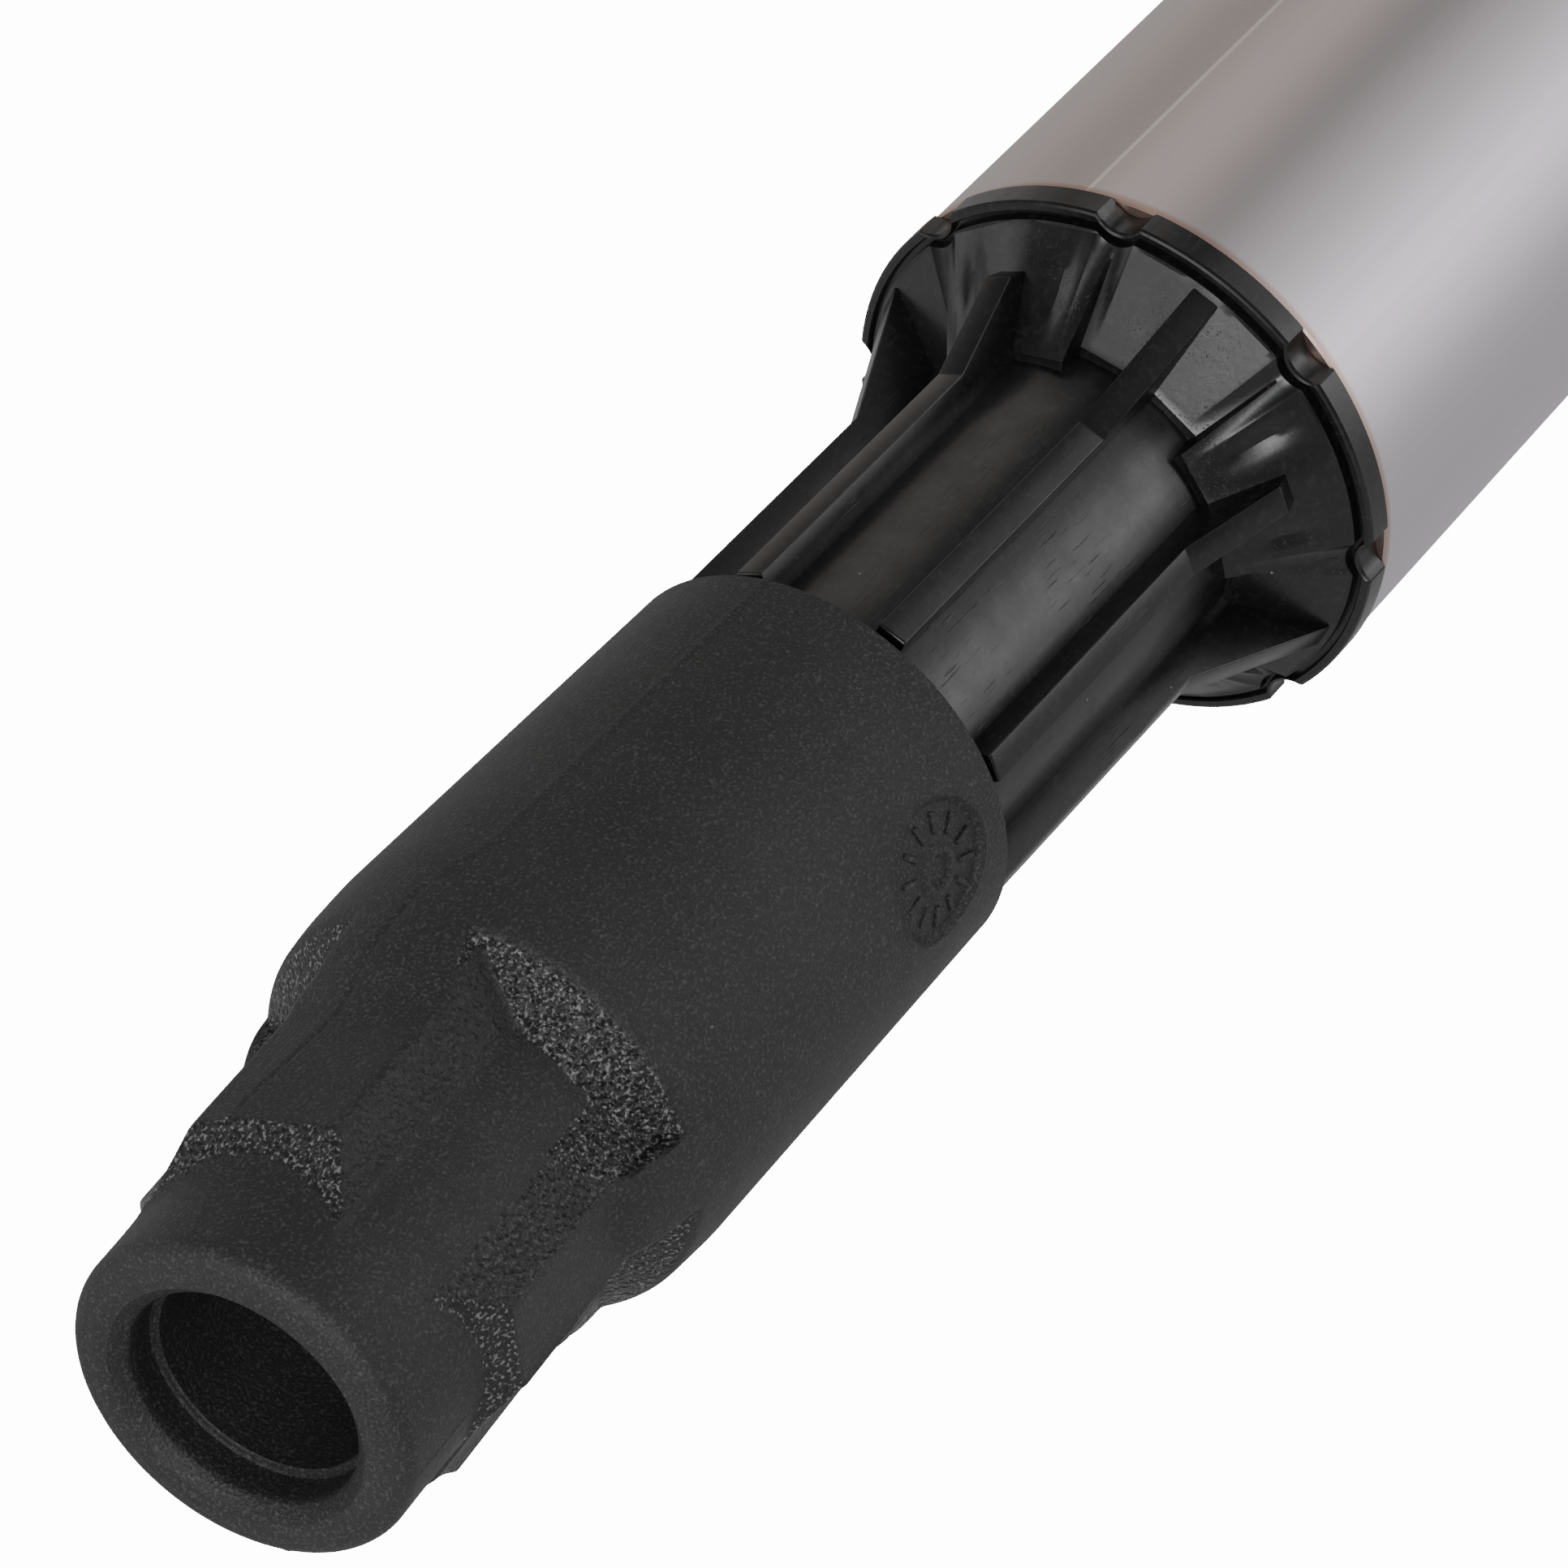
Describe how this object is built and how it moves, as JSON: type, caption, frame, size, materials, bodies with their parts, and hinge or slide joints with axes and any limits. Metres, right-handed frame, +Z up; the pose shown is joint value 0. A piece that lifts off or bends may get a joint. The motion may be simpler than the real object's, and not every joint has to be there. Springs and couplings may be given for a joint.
{
  "type": "window cleaning pole",
  "caption": "Telescopic two-section aluminium window cleaning pole with a splined, slightly leaning tool cone, a cam-lever clamp, a rubber grip and a hanging eye.",
  "frame": {"origin": "bottom centre of the whole stowed pole's box; the pole lies on its clamp collar and its grip", "axes": "+X along the pole from the tool cone to the hanging eye, +Z up through the clamp lever"},
  "size_m": [0.8322, 0.0492, 0.0621],
  "materials": {
    "cone_plastic": "spark-eroded matt black",
    "plug_plastic": "moulded semi-gloss black",
    "inner_aluminium": "satin anodised, warm grey",
    "outer_aluminium": "satin anodised, warm grey",
    "steel": "plated steel",
    "bush_nylon": "natural nylon",
    "rubber": "soft black rubber",
    "grip_rubber": "ribbed black rubber",
    "pad_rubber": "soft grey rubber",
    "clamp_plastic": "fine-grained black",
    "lever_plastic": "fine-grained dark grey"
  },
  "bodies": {
    "handle": {"outer_tube": "outer_aluminium", "guide_bush": "bush_nylon", "wiper_ring": "rubber", "collar_cap": "clamp_plastic", "clamp_collar": "clamp_plastic", "collar_screws": "steel", "lever_pin": "steel", "pin_clips": "steel", "shoe_springs": "steel", "hand_grip": "grip_rubber", "grip_trim": "clamp_plastic", "end_cap": "clamp_plastic", "end_rivets": "steel"},
    "slider": {"inner_tube": "inner_aluminium", "tip_plug": "plug_plastic", "pole_cone": "cone_plastic", "cone_screw": "steel", "cone_washer": "steel", "stop_ring": "bush_nylon", "rear_guide_ring": "bush_nylon", "guide_ring_pins": "steel", "rear_plug": "plug_plastic"},
    "lever": {"clamp_lever": "lever_plastic", "lever_pad": "pad_rubber"},
    "shoe": {"brake_shoe": "bush_nylon", "brake_pad": "rubber", "wear_plate": "steel"}
  },
  "joints": [
    {"name": "telescope", "type": "slide", "parent": "handle", "child": "slider", "axis": [-1, 0, 0], "range_m": [-0.085, 0.35]},
    {"name": "lever_hinge", "type": "hinge", "parent": "handle", "child": "lever", "pos_m": [-0.18694, 0, 0.05665], "axis": [0, -1, 0], "range_deg": [0, 100]},
    {"name": "shoe_lift", "type": "slide", "parent": "handle", "child": "shoe", "axis": [0, 0, 1], "range_m": [0, 0.0008], "deforming": ["shoe_springs"]}
  ],
  "couplings": [
    {"joint": "shoe_lift", "follows": "lever_hinge", "m_per_rad": 0.00045832}
  ]
}
